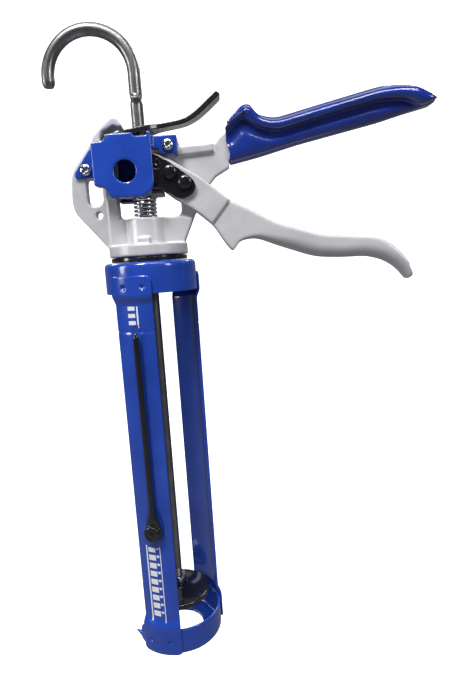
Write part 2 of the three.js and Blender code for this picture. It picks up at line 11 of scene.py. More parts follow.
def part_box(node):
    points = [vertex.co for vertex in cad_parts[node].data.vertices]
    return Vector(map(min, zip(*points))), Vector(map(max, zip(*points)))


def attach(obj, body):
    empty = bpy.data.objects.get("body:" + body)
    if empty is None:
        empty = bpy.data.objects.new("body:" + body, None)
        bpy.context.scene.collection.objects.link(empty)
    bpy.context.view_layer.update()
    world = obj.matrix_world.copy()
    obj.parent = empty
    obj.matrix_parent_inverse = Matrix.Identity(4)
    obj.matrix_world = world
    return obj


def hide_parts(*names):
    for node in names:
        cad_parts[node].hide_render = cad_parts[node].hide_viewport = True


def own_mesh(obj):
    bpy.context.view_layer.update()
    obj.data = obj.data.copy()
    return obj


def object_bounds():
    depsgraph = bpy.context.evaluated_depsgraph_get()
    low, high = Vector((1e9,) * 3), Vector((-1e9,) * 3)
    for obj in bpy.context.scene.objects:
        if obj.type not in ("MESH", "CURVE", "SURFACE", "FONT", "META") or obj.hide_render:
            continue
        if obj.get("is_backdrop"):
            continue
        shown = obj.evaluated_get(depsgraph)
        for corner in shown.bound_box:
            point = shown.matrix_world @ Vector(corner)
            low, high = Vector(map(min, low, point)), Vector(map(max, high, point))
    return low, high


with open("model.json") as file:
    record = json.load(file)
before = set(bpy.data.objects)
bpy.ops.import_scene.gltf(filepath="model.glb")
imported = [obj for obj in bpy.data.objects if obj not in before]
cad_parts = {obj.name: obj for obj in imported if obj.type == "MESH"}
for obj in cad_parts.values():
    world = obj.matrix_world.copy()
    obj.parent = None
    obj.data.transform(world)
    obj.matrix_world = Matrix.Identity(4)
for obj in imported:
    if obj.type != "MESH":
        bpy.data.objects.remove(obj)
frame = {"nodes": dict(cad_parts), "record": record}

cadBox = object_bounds()
nodes = frame["nodes"]
bodies = frame["record"]["behaviour"]["bodies"]
bodyOf = {member: body for body, members in bodies.items() for member in members}
slotOf = {part["node"]: part["material_slot"] for part in frame["record"]["subparts"]}

# lengths are written in millimetres from the rod's axis and the rear cap's top, then turned to metres
discLow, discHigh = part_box("plunger_disc")
rodX = (discLow.x + discHigh.x) / 2
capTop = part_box("rear_cap")[1].z
home = np.array([rodX, 0.0, capTop])
mm = 0.001


def heightOf(node, top=True):
    return (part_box(node)[1 if top else 0].z - capTop) / mm


capOuter = (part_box("rear_cap")[1].x - rodX) / mm
frontZ = heightOf("front_cap", False)
plungerZ = heightOf("plunger_disc", False)
punchPivotZ = (heightOf("seal_punch_pivot") + heightOf("seal_punch_pivot", False)) / 2


def toFrame(points):
    return np.asarray(points, float) * mm + home


def toLocal(points):
    return (np.array(points) - home) / mm


# nodes and shader maths

def addNode(tree, kind, settings=None, inputs=None):
    node = tree.nodes.new(kind)
    for key, value in (settings or {}).items():
        if key == "stops":
            ramp = node.color_ramp
            while len(ramp.elements) < len(value):
                ramp.elements.new(0.5)
            for element, (place, colour) in zip(ramp.elements, value):
                element.position = place
                element.color = colour
        else:
            setattr(node, key, value)
    for key, value in (inputs or {}).items():
        if isinstance(value, Socket):
            value = value.link
        if isinstance(value, bpy.types.NodeSocket):
            tree.links.new(value, node.inputs[key])
        else:
            node.inputs[key].default_value = value
    return node


class Socket:
    def __init__(self, tree, link):
        self.tree = tree
        self.link = link

    def maths(self, operation, *values):
        node = addNode(self.tree, "ShaderNodeMath", {"operation": operation}, dict(enumerate(values)))
        return Socket(self.tree, node.outputs[0])

    def __add__(self, other):
        return self.maths("ADD", self, other)

    def __sub__(self, other):
        return self.maths("SUBTRACT", self, other)

    def __mul__(self, other):
        return self.maths("MULTIPLY", self, other)

    def __rsub__(self, other):
        return self.maths("SUBTRACT", other, self)

    __radd__ = __add__
    __rmul__ = __mul__

    def above(self, edge):
        return self.maths("GREATER_THAN", self, edge)

    def within(self, low, high):
        return self.above(low) * (1 - self.above(high))


class Finish:
    def __init__(self, name, colour, roughness, metallic=0.0, **plain):
        self.material = bpy.data.materials.new(name)
        self.material.use_nodes = True
        self.material.diffuse_color = colour
        self.tree = self.material.node_tree
        self.shader = self.tree.nodes["Principled BSDF"]
        self.roughness = roughness
        self.set("Base Color", colour)
        self.set("Roughness", roughness)
        self.set("Metallic", metallic)
        for key, value in plain.items():
            self.set(key.replace("_", " "), value)
        self.place = self.add("ShaderNodeTexCoord").outputs["Object"]

    def add(self, kind, settings=None, **inputs):
        named = {key.replace("_", " "): value for key, value in inputs.items()}
        return addNode(self.tree, kind, settings, named)

    def set(self, name, value):
        if isinstance(value, Socket):
            value = value.link
        if isinstance(value, bpy.types.NodeSocket):
            self.tree.links.new(value, self.shader.inputs[name])
        else:
            self.shader.inputs[name].default_value = value

    def noise(self, size, detail=2.0, stretch=(1, 1, 1), roughness=0.5):
        scale = tuple(s / (size * mm) for s in stretch)
        where = self.add("ShaderNodeMapping", Vector=self.place, Scale=scale).outputs[0]
        node = self.add("ShaderNodeTexNoise", Vector=where, Scale=1.0, Detail=detail, Roughness=roughness)
        return Socket(self.tree, node.outputs["Fac"])

    def mix(self, factor, first, second):
        node = self.add("ShaderNodeMix", {"data_type": "RGBA"})
        for socket, value in zip((node.inputs[0], node.inputs[6], node.inputs[7]), (factor, first, second)):
            if isinstance(value, Socket):
                value = value.link
            if isinstance(value, bpy.types.NodeSocket):
                self.tree.links.new(value, socket)
            else:
                socket.default_value = value
        return node.outputs[2]

    def ramp(self, value, *stops):
        node = self.add("ShaderNodeValToRGB", {"stops": [(p, (v, v, v, 1)) for p, v in stops]}, Fac=value)
        return Socket(self.tree, node.outputs[0])

    # the second colour comes in where amount passes from low to high
    def blend(self, amount, low, high, first, second):
        return self.mix(self.ramp(amount, (low, 0.0), (high, 1.0)), first, second)

    # roughness from less under the finish's own value to more over it
    def roughen(self, amount, less, more, high=0.7):
        self.set("Roughness", self.ramp(amount, (0.3, self.roughness - less), (high, self.roughness + more)))

    def bump(self, height, depth, strength=1.0):
        node = self.add("ShaderNodeBump", Height=height, Distance=depth * mm, Strength=strength)
        self.set("Normal", node.outputs[0])

    def coordinate(self, axis):
        node = self.add("ShaderNodeSeparateXYZ", Vector=self.place)
        return Socket(self.tree, node.outputs[axis])


# finishes

castingLook = {"paint": (0.61, 0.60, 0.625, 1), "shade": (0.52, 0.51, 0.535, 1), "roughness": 0.36}


def castingPaint():
    look = castingLook
    f = Finish("castingPaint", look["paint"], look["roughness"], 0.15, Specular_IOR_Level=0.5)
    broad = f.noise(14, 3)
    fleck = f.noise(0.5, 2)
    grain = f.noise(1.6, 3, roughness=0.6)
    f.set("Base Color", f.blend(broad * 0.75 + fleck * 0.25, 0.35, 0.68, look["paint"], look["shade"]))
    f.roughen(grain, 0.06, 0.1)
    f.bump(grain * 0.7 + fleck * 0.3, 0.07, 0.5)
    return f.material


blueLook = {"paint": (0.018, 0.065, 0.42, 1), "deep": (0.012, 0.048, 0.33, 1), "roughness": 0.18,
            "ink": (0.78, 0.78, 0.80, 1)}


def glossPaint(name, look, marks=None):
    f = Finish(name, look["paint"], look["roughness"], 0.0, Coat_Roughness=0.04, Coat_IOR=1.5)
    f.set("Coat Weight", 0.55)
    broad = f.noise(22, 3)
    peel = f.noise(1.3, 2)
    fine = f.noise(0.35, 2)
    colour = f.blend(broad, 0.35, 0.7, look["paint"], look["deep"])
    if marks:
        colour = f.mix(marks(f), colour, look["ink"])
    f.set("Base Color", colour)
    f.roughen(fine * 0.4 + broad * 0.6, 0.05, 0.07)
    f.bump(peel * 0.8 + fine * 0.2, 0.035, 0.35)
    return f.material


gripLook = {"vinyl": (0.010, 0.030, 0.235, 1), "deep": (0.008, 0.022, 0.17, 1), "roughness": 0.13}


def gripVinyl():
    look = gripLook
    f = Finish("gripVinyl", look["vinyl"], look["roughness"], 0.0, Coat_Roughness=0.04)
    f.set("Coat Weight", 0.9)
    broad = f.noise(18, 3)
    skin = f.noise(2.2, 2)
    fine = f.noise(0.3, 3)
    f.set("Base Color", f.blend(broad, 0.35, 0.7, look["vinyl"], look["deep"]))
    f.roughen(fine * 0.5 + broad * 0.5, 0.04, 0.1)
    f.bump(skin * 0.85 + fine * 0.15, 0.06, 0.4)
    return f.material


blackLook = {"coat": (0.010, 0.010, 0.012, 1), "worn": (0.03, 0.03, 0.034, 1), "roughness": 0.12}


def blackCoat():
    look = blackLook
    f = Finish("blackCoat", look["coat"], look["roughness"])
    f.set("Coat Weight", 0.4)
    broad = f.noise(6, 4)
    fine = f.noise(0.4, 3)
    f.set("Base Color", f.blend(fine * 0.5 + broad * 0.5, 0.55, 0.75, look["coat"], look["worn"]))
    f.roughen(broad, 0.06, 0.16, 0.75)
    f.bump(fine, 0.03, 0.4)
    return f.material


steelLook = {"bare": (0.34, 0.33, 0.335, 1), "dull": (0.17, 0.165, 0.17, 1), "roughness": 0.32}


def drawnSteel():
    look = steelLook
    f = Finish("drawnSteel", look["bare"], look["roughness"], 1.0)
    streak = f.noise(0.35, 3, (1, 1, 0.03))
    blotch = f.noise(5, 4, (1, 1, 0.5))
    speck = f.noise(0.6, 2)
    f.set("Base Color", f.blend(blotch * 0.6 + streak * 0.4, 0.35, 0.65, look["bare"], look["dull"]))
    f.roughen(speck * 0.5 + blotch * 0.5, 0.08, 0.16)
    f.bump(streak * 0.6 + speck * 0.4, 0.04, 0.5)
    return f.material


brightLook = {"plate": (0.80, 0.80, 0.82, 1), "cloud": (0.62, 0.62, 0.66, 1), "roughness": 0.14}


def brightPlate():
    look = brightLook
    f = Finish("brightPlate", look["plate"], look["roughness"], 1.0)
    cloud = f.noise(3, 4)
    fine = f.noise(0.3, 2)
    f.set("Base Color", f.blend(cloud, 0.35, 0.7, look["plate"], look["cloud"]))
    f.roughen(cloud * 0.6 + fine * 0.4, 0.04, 0.12)
    f.bump(fine, 0.02, 0.4)
    return f.material


# plain printed marks on the front strip, in degrees round the rod and heights: two long rules with a
# row of long and short ticks between them, and three bars with a rule near the top
printLook = {"ruleLeft": -122.5, "ruleRight": -101.5, "rule": 2.2, "low": -215, "high": -166, "pitch": 5.2,
             "tick": (4.0, 14), "tickShare": 0.34, "shortTick": (15.2, 2.2), "shortShare": 0.72,
             "topLow": -36, "topHigh": -24, "bar": (-116, -106.5), "barPitch": 4, "barShare": 0.45,
             "topRule": (-104.5, -102.6)}


def printedMarks(f):
    look = printLook
    left, right = look["ruleLeft"], look["ruleRight"]
    x = (f.coordinate("X") - rodX) * (1 / mm)
    z = (f.coordinate("Z") - capTop) * (1 / mm)
    y = f.coordinate("Y") * (1 / mm)
    angle = x.maths("ARCTAN2", y, x) * (180 / math.pi)
    rules = angle.within(left, left + look["rule"]) + angle.within(right - look["rule"] / 2, right)
    rules = rules * z.within(look["low"], look["high"])
    steps = z.maths("FRACT", z * (1 / look["pitch"]))
    rows = z.within(look["low"] + 2, look["high"] - 1)
    start, end = look["tick"]
    ticks = steps.above(look["tickShare"]) * rows * angle.within(left + start, left + end)
    start, end = look["shortTick"]
    ticks = ticks + steps.above(look["shortShare"]) * rows * angle.within(left + start, right - end)
    top = z.within(look["topLow"], look["topHigh"])
    bars = z.maths("FRACT", z * (1 / look["barPitch"])).above(look["barShare"])
    bars = bars * top * angle.within(*look["bar"])
    return (rules + ticks + bars + top * angle.within(*look["topRule"])) * y.within(-40, 0)


# the two light brown tones are painted reflection, standing in for the floor mirrored on the lever's
# underside
leverEnamelAndReflection = {"enamel": (0.012, 0.012, 0.013, 1), "bare": (0.50, 0.46, 0.41, 1),
             "dull": (0.36, 0.33, 0.30, 1), "roughness": 0.2}


# black enamel, with a painted reflection of the pale floor in light brown on the faces turned down and away
# from the rod
def leverSteel():
    look = leverEnamelAndReflection
    f = Finish("leverSteel", look["enamel"], look["roughness"])
    f.set("Coat Weight", 0.5)
    cloud = f.noise(7, 4)
    fine = f.noise(0.4, 2)
    normal = f.add("ShaderNodeNewGeometry").outputs["Normal"]
    upward = Socket(f.tree, f.add("ShaderNodeSeparateXYZ", Vector=normal).outputs["Z"])
    outward = (f.coordinate("X") - rodX) * (1 / mm)
    # painted reflection: faces turned downward, away from the rod, get the light brown mirrored floor
    # instead of black
    paintedReflectionMask = f.ramp(upward * -1.0, (0.45, 0.0), (0.7, 1.0)) * f.ramp(outward * 0.02, (0.1, 0.0), (0.45, 1.0))
    paintedReflection = f.blend(cloud, 0.35, 0.7, look["bare"], look["dull"])
    f.set("Base Color", f.mix(paintedReflectionMask, look["enamel"], paintedReflection))
    f.roughen(cloud * 0.6 + fine * 0.4, 0.05, 0.12)
    f.bump(fine, 0.02, 0.4)
    return f.material


finishes = {
    "casting_paint": castingPaint(),
    "blue_paint": glossPaint("blueEnamel", blueLook),
    "grip_vinyl": gripVinyl(),
    "black_steel": blackCoat(),
    "rod_steel": drawnSteel(),
    "bright_plate": brightPlate(),
}
markedBlue = glossPaint("blueEnamelMarked", blueLook, printedMarks)
print("finishes made")


# mesh helpers

def smoothStep(low, high, value):
    t = np.clip((value - low) / (high - low), 0, 1)
    return t * t * (3 - 2 * t)


def keep(piece, body, slot, *replaced):
    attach(piece, body)
    if replaced:
        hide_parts(*replaced)
    return piece


def finishMesh(mesh, material):
    mesh.materials.clear()
    mesh.materials.append(material)
    mesh.polygons.foreach_set("use_smooth", [True] * len(mesh.polygons))
    mesh.update()


def newPiece(name, mesh, material):
    piece = bpy.data.objects.new(name, mesh)
    bpy.context.scene.collection.objects.link(piece)
    finishMesh(mesh, material)
    return piece


def mergedWork(mesh):
    work = bmesh.new()
    work.from_mesh(mesh)
    bmesh.ops.remove_doubles(work, verts=work.verts, dist=0.002 * mm)
    return work


def facing(mesh):
    work = mergedWork(mesh)
    bmesh.ops.recalc_face_normals(work, faces=work.faces)
    work.to_mesh(mesh)
    work.free()
    return mesh


def meshFrom(name, points, faces):
    mesh = bpy.data.meshes.new(name)
    corners = [tuple(p) for p in toFrame(points)]
    mesh.from_pydata(corners, [], [tuple(int(i) for i in f) for f in faces])
    return facing(mesh)


# rings of points, each a closed loop, joined in order; both ends are filled unless the rings go round
def loft(name, rings, material, around=False):
    rings = np.asarray(rings, float)
    count, size = rings.shape[:2]
    faces = []
    for i in range(count if around else count - 1):
        a, b = i * size, (i + 1) % count * size
        faces += [(a + j, a + (j + 1) % size, b + (j + 1) % size, b + j) for j in range(size)]
    if not around:
        faces += [tuple(range(size)), tuple(range((count - 1) * size, count * size))]
    return newPiece(name, meshFrom(name, rings.reshape(-1, 3), faces), material)


# a closed [radius, z] profile with its corners rounded; a corner may give its own radius as a third number
def filleted(corners, radius=0.35, steps=3):
    points = []
    count = len(corners)
    for i in range(count):
        here = np.array(corners[i][:2], float)
        size = corners[i][2] if len(corners[i]) > 2 else radius
        before = np.array(corners[i - 1][:2], float) - here
        after = np.array(corners[(i + 1) % count][:2], float) - here
        lengths = np.linalg.norm(before), np.linalg.norm(after)
        size = min(size, 0.4 * min(lengths))
        start = here + before / lengths[0] * size
        end = here + after / lengths[1] * size
        points.append(here + before / lengths[0] * size * 1.2)
        for k in range(steps + 1):
            t = k / steps
            points.append((1 - t) ** 2 * start + 2 * t * (1 - t) * here + t ** 2 * end)
        points.append(here + after / lengths[1] * size * 1.2)
    return points


def turns(count):
    return np.linspace(0, 2 * math.pi, count, endpoint=False)


def turned(name, profile, material, segments):
    rings = [[(r * math.cos(a), r * math.sin(a), z) for r, z in profile] for a in turns(segments)]
    return loft(name, rings, material, around=True)


def evaluatedMesh(piece):
    graph = bpy.context.evaluated_depsgraph_get()
    return bpy.data.meshes.new_from_object(piece.evaluated_get(graph))


def applied(piece):
    mesh = evaluatedMesh(piece)
    piece.modifiers.clear()
    piece.data = mesh
    return piece


def arrayOf(mesh):
    points = np.empty(len(mesh.vertices) * 3)
    mesh.vertices.foreach_get("co", points)
    return points.reshape(-1, 3)


# a CAD solid with its edges rounded over: remeshed finely, smoothed, and its flat faces pulled back flat
# from flatFrom millimetres away from an edge
def rounded(name, node, voxel, passes, flatFrom, material=None, shape=None):
    material = material or finishes[slotOf[node]]
    source = nodes[node].data.copy()
    work = mergedWork(source)
    work.to_mesh(source)
    bmesh.ops.dissolve_limit(work, angle_limit=math.radians(0.6), verts=work.verts, edges=work.edges)
    sharp = KDTree(400000)  # points along the sharp edges
    count = 0
    for edge in work.edges:
        if len(edge.link_faces) != 2 or edge.calc_face_angle(0) < math.radians(25):
            continue
        a, b = edge.verts[0].co, edge.verts[1].co
        steps = max(1, int((b - a).length / (0.4 * mm)))
        for k in range(steps + 1):
            sharp.insert(a.lerp(b, k / steps), count)
            count += 1
    sharp.balance()
    flats = []
    for face in work.faces:
        bends = [e.calc_face_angle(0) for e in face.edges if len(e.link_faces) == 2]
        curved = any(math.radians(1) < bend < math.radians(25) for bend in bends)
        flats.append(not curved and face.calc_area() > 8 * mm * mm)
    tree = BVHTree.FromBMesh(work)
    work.free()
    piece = newPiece(name, source, material)
    remesh = piece.modifiers.new("remesh", "REMESH")
    remesh.mode = "VOXEL"
    remesh.voxel_size = voxel * mm
    applied(piece)
    mesh = piece.data
    points = arrayOf(mesh)
    edges = np.empty(len(mesh.edges) * 2, int)
    mesh.edges.foreach_get("vertices", edges)
    edges = edges.reshape(-1, 2)
    degree = np.bincount(edges.ravel(), minlength=len(points))[:, None]

    def smooth(p, times):
        for _ in range(times):
            total = np.zeros_like(p)
            np.add.at(total, edges[:, 0], p[edges[:, 1]])
            np.add.at(total, edges[:, 1], p[edges[:, 0]])
            p = p + 0.5 * (total / degree - p)
        return p

    if shape:
        points = shape(points)
    points = smooth(points, passes)
    for i, p in enumerate(points):
        if shape and not shape.keepsFlat(p):
            continue
        spot = Vector(p)
        away = sharp.find(spot)[2] / (flatFrom * mm)
        if away < 0.7:
            continue
        near, _, face, _ = tree.find_nearest(spot)
        if flats[face]:
            weight = min(1.0, (away - 0.7) / 0.6)
            points[i] += (np.array(near) - p) * weight * weight * (3 - 2 * weight)
    mesh.vertices.foreach_set("co", points.ravel())
    finishMesh(mesh, material)
    return keep(piece, bodyOf[node], slotOf[node], node)


# rounds over a cast bar's long edges. A rule gives the half width where the edges lie, the round's most,
# which edges it takes by their side's normal and middle, and how the round grows along X.
class RoundOver:
    def __init__(self, node, rules, flatUpTo=-math.inf):
        self.flatUpTo = flatUpTo
        work = mergedWork(nodes[node].data)
        bmesh.ops.dissolve_limit(work, angle_limit=math.radians(0.6), verts=work.verts, edges=work.edges)
        self.rules = []
        for halfWidth, radius, picks, growth in rules:
            spots, inwards = [], []
            for edge in work.edges:
                a, b = (toLocal(v.co) for v in edge.verts)
                off = max(abs(abs(a[1]) - halfWidth), abs(abs(b[1]) - halfWidth))
                if len(edge.link_faces) != 2 or off > 0.02:
                    continue
                sides = [face.normal for face in edge.link_faces if abs(face.normal.y) < 0.1]
                if len(sides) != 1 or not picks(sides[0], (a + b) / 2):
                    continue
                steps = max(1, int(np.linalg.norm(b - a) / 0.25))
                for k in range(steps + 1):
                    spots.append(a + (b - a) * k / steps)
                    inwards.append((-sides[0].x, -sides[0].z))
            tree = KDTree(len(spots))
            for i, spot in enumerate(spots):
                tree.insert((spot[0], 0, spot[2]), i)
            tree.balance()
            self.rules.append((halfWidth, radius, growth, tree, spots, inwards))
        work.free()

    def keepsFlat(self, point):
        return (point[0] - rodX) / mm < self.flatUpTo

    def __call__(self, points):
        local = toLocal(points)
        for halfWidth, most, growth, tree, spots, inwards in self.rules:
            for i, (x, y, z) in enumerate(local):
                if not halfWidth - most < abs(y) < halfWidth + 0.4:
                    continue
                _, k, away = tree.find((x, 0, z))
                radius = most * growth(spots[k][0])
                if away > radius * 1.05 or abs(y) < halfWidth - radius:
                    continue
                inX, inZ = inwards[k]
                deep = max(0.0, (x - spots[k][0]) * inX + (z - spots[k][2]) * inZ)
                across = max(radius - deep, 0.0)
                out = abs(y) - (halfWidth - radius)
                size = math.hypot(across, out)
                if size < 1e-6 or across <= 0:
                    continue
                scale = max(across, out) / size
                shift = radius - across * scale - deep
                side = math.copysign(halfWidth - radius + out * scale, y)
                local[i] = (x + inX * shift, side, z + inZ * shift)
        return toFrame(local)


# a sheet bent round the rod: along(angle) gives its middle line as [r, z] and how far its outer face is
# sunk; the sheet is thinner at its two side edges, so that they look rounded
def bentSheet(name, angles, along, thickness, material):
    rings = []
    for i, angle in enumerate(angles):
        line, sunk = along(angle)
        line = np.asarray(line, float)
        sunk = np.asarray(sunk, float)
        way = np.gradient(line, axis=0)
        way /= np.linalg.norm(way, axis=1)[:, None]
        normal = np.column_stack((-way[:, 1], way[:, 0]))
        half = thickness / 2 * (0.55 if i in (0, len(angles) - 1) else 1.0)
        outer = line + normal * (half - sunk)[:, None]
        inner = line - normal * half
        fan = [(math.cos(t), math.sin(t)) for t in (0.5, 1.1, 2.04, 2.64)]
        tip = [line[-1] + half * (normal[-1] * c + way[-1] * s) for c, s in fan]
        tail = [line[0] - half * (normal[0] * c + way[0] * s) for c, s in fan]
        ring = np.vstack((outer, tip, inner[::-1], tail))
        turn = math.radians(angle)
        r, z = ring.T
        rings.append(np.column_stack((r * math.cos(turn), r * math.sin(turn), z)))
    return loft(name, rings, material)


# heights from high to low a step apart, with the stretches in fine spaced more closely
def spaced(high, low, step, *fine):
    places = list(np.arange(high, low, -step)) + [low]
    for top, bottom, small in fine:
        kept = (high, low)
        places = [p for p in places if p in kept or not bottom - small / 2 < p < top + small / 2]
        places += list(np.arange(top, bottom, -small))
    return np.array(sorted(set(np.round(places, 4)), reverse=True))


# trees of geometry nodes

def growTree(name, sizes, build):
    tree = bpy.data.node_groups.new(name, "GeometryNodeTree")
    tree.interface.new_socket("Geometry", in_out="INPUT", socket_type="NodeSocketGeometry")
    for size in sizes:
        tree.interface.new_socket(size, in_out="INPUT", socket_type="NodeSocketFloat")
    tree.interface.new_socket("Geometry", in_out="OUTPUT", socket_type="NodeSocketGeometry")
    given = tree.nodes.new("NodeGroupInput").outputs
    shape = build(tree, given)
    whole = addNode(tree, "GeometryNodeRealizeInstances", None, {"Geometry": shape})
    painted = addNode(tree, "GeometryNodeSetMaterial", None, {"Geometry": whole.outputs[0]})
    addNode(tree, "NodeGroupOutput", None, {0: painted.outputs[0]})
    return tree, painted


def grown(name, tree, painted, sizes, material, start=None):
    painted.inputs["Material"].default_value = material
    helper = bpy.data.objects.new(name + "_seed", start or bpy.data.meshes.new(name))
    bpy.context.scene.collection.objects.link(helper)
    modifier = helper.modifiers.new("nodes", "NODES")
    modifier.node_group = tree
    for item in tree.interface.items_tree:
        if item.in_out == "INPUT" and item.name in sizes:
            modifier[item.identifier] = float(sizes[item.name])
    mesh = evaluatedMesh(helper)
    bpy.data.objects.remove(helper)
    return newPiece(name, facing(mesh), material)


def wireTree(tree, given):
    spiral = addNode(tree, "GeometryNodeCurveSpiral", None, {
        "Resolution": 40, "Rotations": given["Turns"], "Start Radius": given["Radius"],
        "End Radius": given["Radius"], "Height": given["Height"]})
    around = addNode(tree, "GeometryNodeCurvePrimitiveCircle", None, {
        "Resolution": 14, "Radius": given["Wire"]})
    tube = addNode(tree, "GeometryNodeCurveToMesh", None, {
        "Curve": spiral.outputs[0], "Profile Curve": around.outputs[0], "Fill Caps": True})
    base = addNode(tree, "ShaderNodeCombineXYZ", None, {"X": given["Base X"], "Z": given["Base Z"]})
    return addNode(tree, "GeometryNodeTransform", None, {
        "Geometry": tube.outputs[0], "Translation": base.outputs[0]}).outputs[0]


def barTree(tree, given):
    around = addNode(tree, "GeometryNodeCurvePrimitiveCircle", None, {
        "Resolution": 40, "Radius": given["Radius"]})
    return addNode(tree, "GeometryNodeCurveToMesh", None, {
        "Curve": given["Geometry"], "Profile Curve": around.outputs[0], "Fill Caps": True}).outputs[0]


# one template on every point, turned half round where the point is on the far side
def fixingTree(template):
    def build(tree, given):
        head = addNode(tree, "GeometryNodeObjectInfo", None, {"Object": template})
        place = addNode(tree, "GeometryNodeInputPosition").outputs[0]
        side = addNode(tree, "ShaderNodeSeparateXYZ", None, {"Vector": place}).outputs["Y"]
        far = addNode(tree, "ShaderNodeMath", {"operation": "GREATER_THAN"}, {0: side, 1: 0.0}).outputs[0]
        half = addNode(tree, "ShaderNodeMath", {"operation": "MULTIPLY"}, {0: far, 1: math.pi}).outputs[0]
        turn = addNode(tree, "ShaderNodeCombineXYZ", None, {"Y": given["Turn"], "Z": half}).outputs[0]
        points = addNode(tree, "GeometryNodeMeshToPoints", None, {"Mesh": given["Geometry"]})
        return addNode(tree, "GeometryNodeInstanceOnPoints", None, {
            "Points": points.outputs[0], "Instance": head.outputs["Geometry"], "Rotation": turn}).outputs[0]
    return build


# the casting, the grip and the trigger

castingShape = {"voxel": 0.48, "passes": 5, "flatFrom": 1.4}

rounded("body_casting_cast", "body_casting", castingShape["voxel"], castingShape["passes"],
        castingShape["flatFrom"])

triggerShape = {"voxel": 0.5, "passes": 6, "flatFrom": 1.6, "halfWidth": 8.0, "underside": 7.2,
                "topEdge": 2.2, "flatUpTo": 44, "fingersFrom": 50, "fingersTo": 88}


def fingerSide(x):
    return 0.16 + 0.84 * smoothStep(triggerShape["fingersFrom"], triggerShape["fingersTo"], x)


def makeTrigger():
    look = triggerShape
    edges = RoundOver("trigger", [
        (look["halfWidth"], look["underside"], lambda n, p: n.z < 0.1 and p[0] > 40, fingerSide),
        (look["halfWidth"], look["topEdge"], lambda n, p: n.z > 0.1 and p[0] > 49, lambda x: 1.0),
    ], look["flatUpTo"])
    rounded("trigger_cast", "trigger", look["voxel"], look["passes"], look["flatFrom"], None, edges)


gripShape = {"voxel": 0.6, "passes": 9, "flatFrom": 0.01, "bead": 10.5, "beadTop": 9.0, "beadFoot": 4.4,
             "web": 6.0, "webFoot": 5.4, "tipFrom": 148, "tipTo": 165, "tipShrink": 0.6}


def towardTip(x):
    return 1 - gripShape["tipShrink"] * smoothStep(gripShape["tipFrom"], gripShape["tipTo"], x)


def makeGrip():
    look = gripShape
    edges = RoundOver("handle_grip", [
        (look["bead"], look["beadTop"], lambda n, p: n.z > 0.05 or n.x > 0.5, towardTip),
        (look["bead"], look["beadFoot"], lambda n, p: n.z < -0.05 and n.x > -0.9, towardTip),
        (look["web"], look["webFoot"], lambda n, p: n.z < -0.05 and n.x > -0.9, towardTip),
    ])
    rounded("handle_grip_dip", "handle_grip", look["voxel"], look["passes"], look["flatFrom"], None, edges)


makeTrigger()
makeGrip()
print("casting, trigger and grip made")


# pressed and stamped pieces: voxel size, smoothing passes, and where their flat faces begin

stampedLook = {
    "cover_near": (0.36, 14, 1.9), "cover_far": (0.36, 14, 1.9),
    "trigger_plate_near": (0.3, 4, 0.8), "trigger_plate_far": (0.3, 4, 0.8),
    "cutter_blade": (0.28, 3, 0.7), "drive_plate_rear": (0.33, 5, 0.9),
    "drive_plate_front": (0.33, 5, 0.9), "release_lever": (0.33, 6, 1.0),
}
for node, sizes in stampedLook.items():
    rounded(node + "_pressed", node, *sizes, leverSteel() if node == "release_lever" else None)
print("covers, plates and lever made")


# rod, springs and the plunger

rodLook = {"radius": 3.55, "bend": 24.0, "centre": 104.5, "tail": 5.0, "crimp": 90.0, "crimpLength": 2.6,
           "earOut": 0.55, "earIn": 0.16, "pitch": 1.25, "threadDepth": 0.45, "threadTop": 19.0,
           "pastDisc": 9, "endTaper": 0.28, "hookTaper": 0.25}


